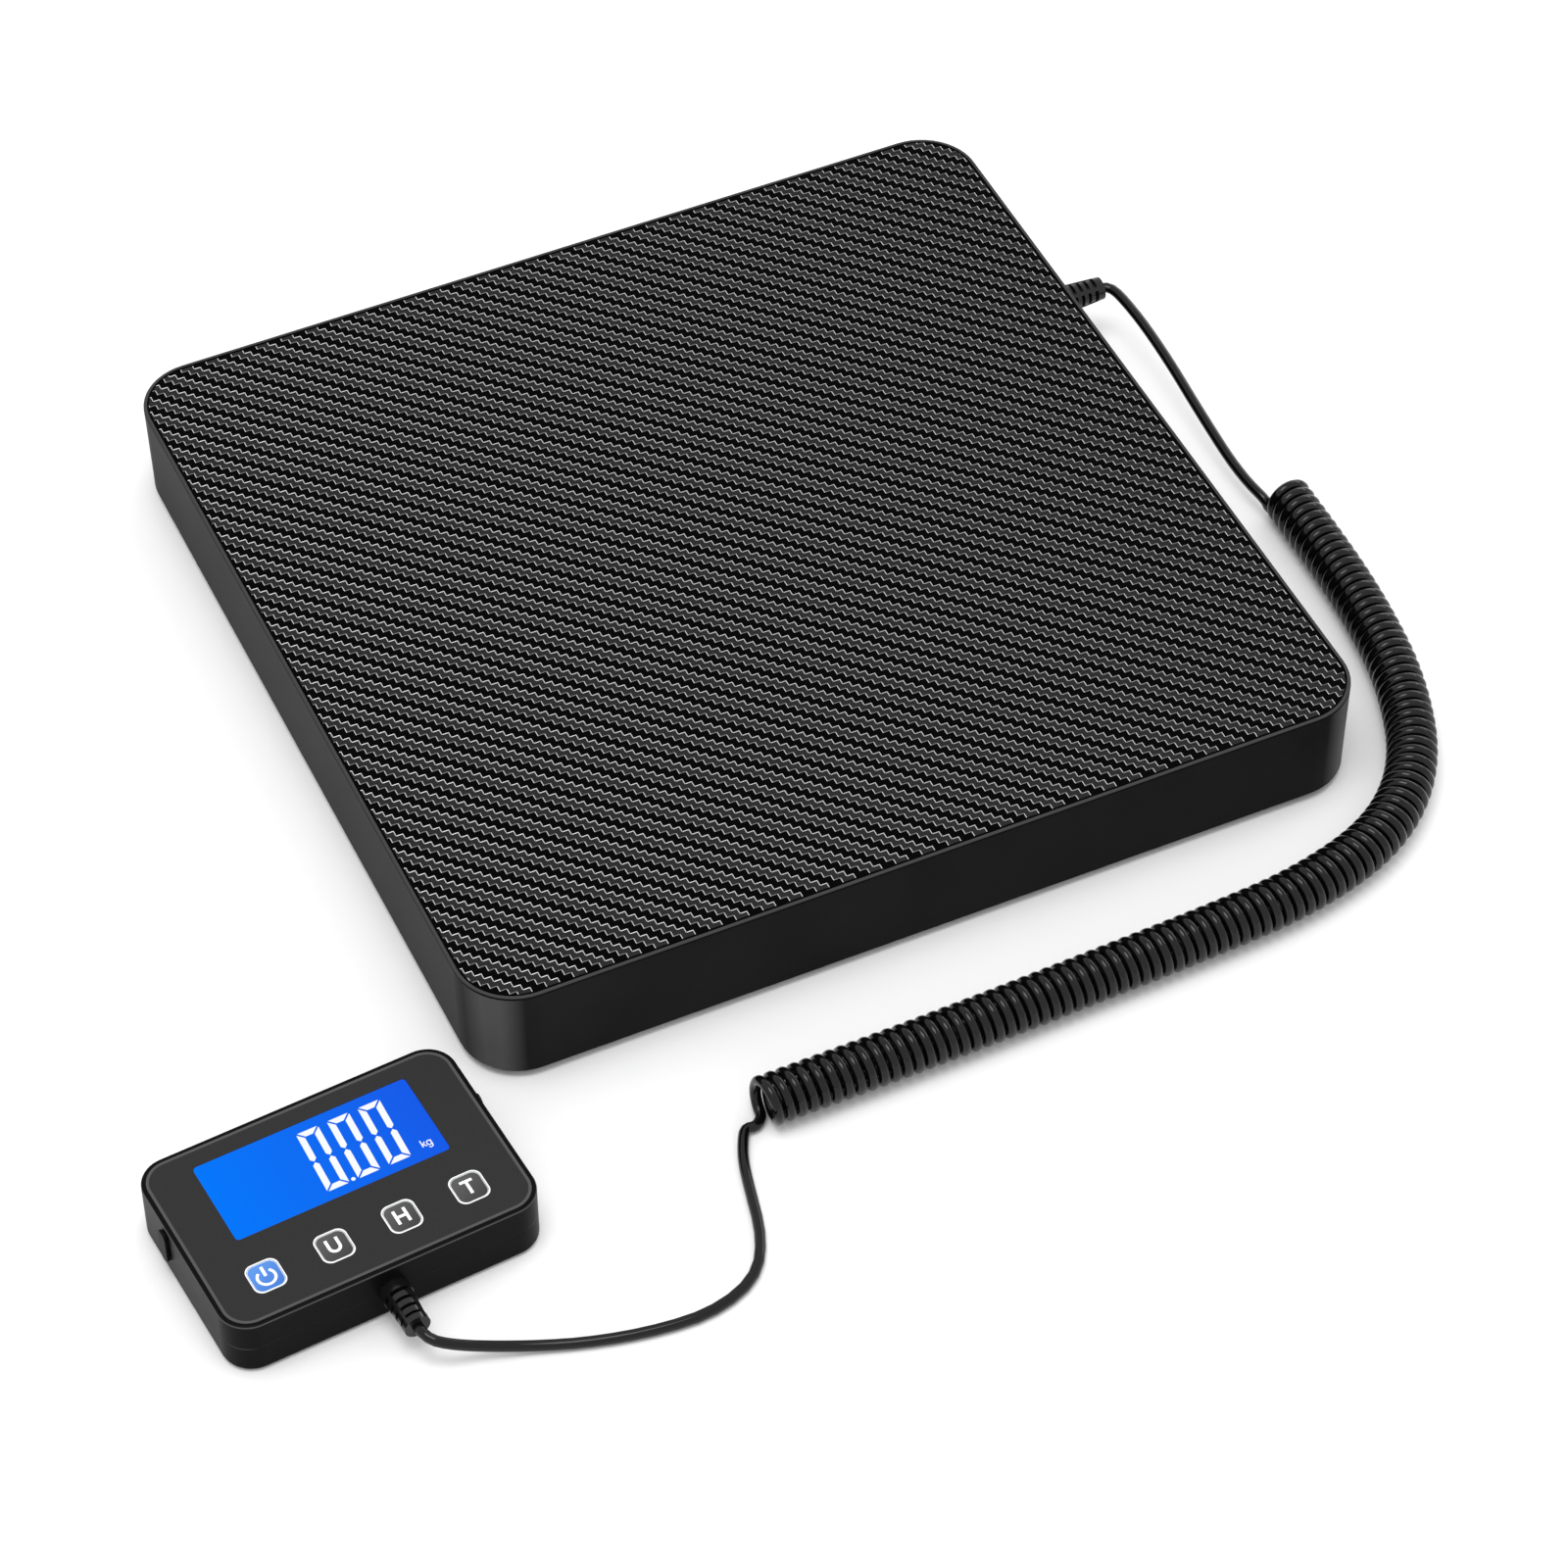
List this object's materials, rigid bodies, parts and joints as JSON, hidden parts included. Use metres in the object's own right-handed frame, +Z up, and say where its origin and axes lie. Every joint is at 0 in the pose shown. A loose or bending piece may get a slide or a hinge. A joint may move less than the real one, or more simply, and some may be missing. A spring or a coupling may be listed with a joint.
{
  "type": "platform shipping scale",
  "caption": "Low square weighing platform on four load-cell feet, with a corded display unit that has a readout, press keys and a fold-out stand.",
  "frame": {"origin": "middle of the platform at floor level, on the plane of the feet's undersides", "axes": "+X towards the side that the cord leaves, +Y towards the platform's back edge, +Z up, out of the weighing deck"},
  "size_m": [0.4515, 0.4053, 0.037],
  "materials": {
    "case_black": "finely textured black moulding",
    "deck_film": "printed twill pattern under a clear film",
    "steel_plate": "bare sheet",
    "nylon_black": "moulded",
    "holder_plastic": "moulded",
    "foot_rubber": "soft matte",
    "screw_steel": "zinc plated",
    "circuit_board": "solder mask",
    "board_parts": "moulded",
    "cord_rubber": "smooth glossy jacket",
    "wire_jacket": "smooth jacket",
    "panel_grey": "satin overlay with a grey border line",
    "lens_clear": "clear",
    "lcd_blue": "lit blue with white segments",
    "backlight_white": "diffuser",
    "key_grey": "satin key with a white outline",
    "key_blue": "satin light blue key with a white power symbol",
    "battery_wrap": "printed wrap"
  },
  "bodies": {
    "platform": {"bottom_cover": "case_black", "cord_coil": "cord_rubber", "cord_display_lead": "cord_rubber", "cord_platform_lead": "cord_rubber", "cord_tail": "cord_rubber", "cover_screws": "screw_steel", "deck_film": "deck_film", "deck_plate": "steel_plate", "foot_1": "nylon_black", "foot_2": "nylon_black", "foot_3": "nylon_black", "foot_4": "nylon_black", "foot_pad_1": "foot_rubber", "foot_pad_2": "foot_rubber", "foot_pad_3": "foot_rubber", "foot_pad_4": "foot_rubber", "holder_screws": "screw_steel", "junction_board": "circuit_board", "junction_parts": "board_parts", "junction_screws": "screw_steel", "load_cell_1": "steel_plate", "load_cell_2": "steel_plate", "load_cell_3": "steel_plate", "load_cell_4": "steel_plate", "load_cell_holder_1": "holder_plastic", "load_cell_holder_2": "holder_plastic", "load_cell_holder_3": "holder_plastic", "load_cell_holder_4": "holder_plastic", "platform_shell": "case_black", "platform_strain_relief": "cord_rubber", "sensor_wiring": "wire_jacket"},
    "display": {"display_strain_relief": "cord_rubber", "display_tail": "cord_rubber", "display_front_housing": "case_black", "display_back_housing": "case_black", "display_screws": "screw_steel", "display_panel": "panel_grey", "lcd_lens": "lens_clear", "lcd_glass": "lcd_blue", "backlight": "backlight_white", "display_board": "circuit_board", "display_board_parts": "board_parts", "key_switches": "board_parts", "battery_1": "battery_wrap", "battery_2": "battery_wrap", "battery_3": "battery_wrap", "battery_contacts": "screw_steel"},
    "power_key_body": {"power_key": "key_blue"},
    "unit_key_body": {"unit_key": "key_grey"},
    "hold_key_body": {"hold_key": "key_grey"},
    "tare_key_body": {"tare_key": "key_grey"},
    "door": {"battery_door": "case_black"},
    "stand_body": {"stand": "case_black", "stand_pivots": "case_black"}
  },
  "joints": [
    {"name": "display_lift", "type": "slide", "parent": "platform", "child": "display", "axis": [0, 0, 1], "range_m": [0, 0.15]},
    {"name": "power_key_press", "type": "slide", "parent": "display", "child": "power_key_body", "axis": [0, 0, -1], "range_m": [0, 0.0004], "stiffness_N_per_m": 2500},
    {"name": "unit_key_press", "type": "slide", "parent": "display", "child": "unit_key_body", "axis": [0, 0, -1], "range_m": [0, 0.0004], "stiffness_N_per_m": 2500},
    {"name": "hold_key_press", "type": "slide", "parent": "display", "child": "hold_key_body", "axis": [0, 0, -1], "range_m": [0, 0.0004], "stiffness_N_per_m": 2500},
    {"name": "tare_key_press", "type": "slide", "parent": "display", "child": "tare_key_body", "axis": [0, 0, -1], "range_m": [0, 0.0004], "stiffness_N_per_m": 2500},
    {"name": "door_slide", "type": "slide", "parent": "display", "child": "door", "axis": [-0.0783, 0.9969, 0], "range_m": [0, 0.045]},
    {"name": "stand_hinge", "type": "hinge", "parent": "display", "child": "stand_body", "pos_m": [-0.2078, -0.16753, 0.0082], "axis": [0.9969, 0.0783, 0], "range_deg": [0, 70]}
  ]
}
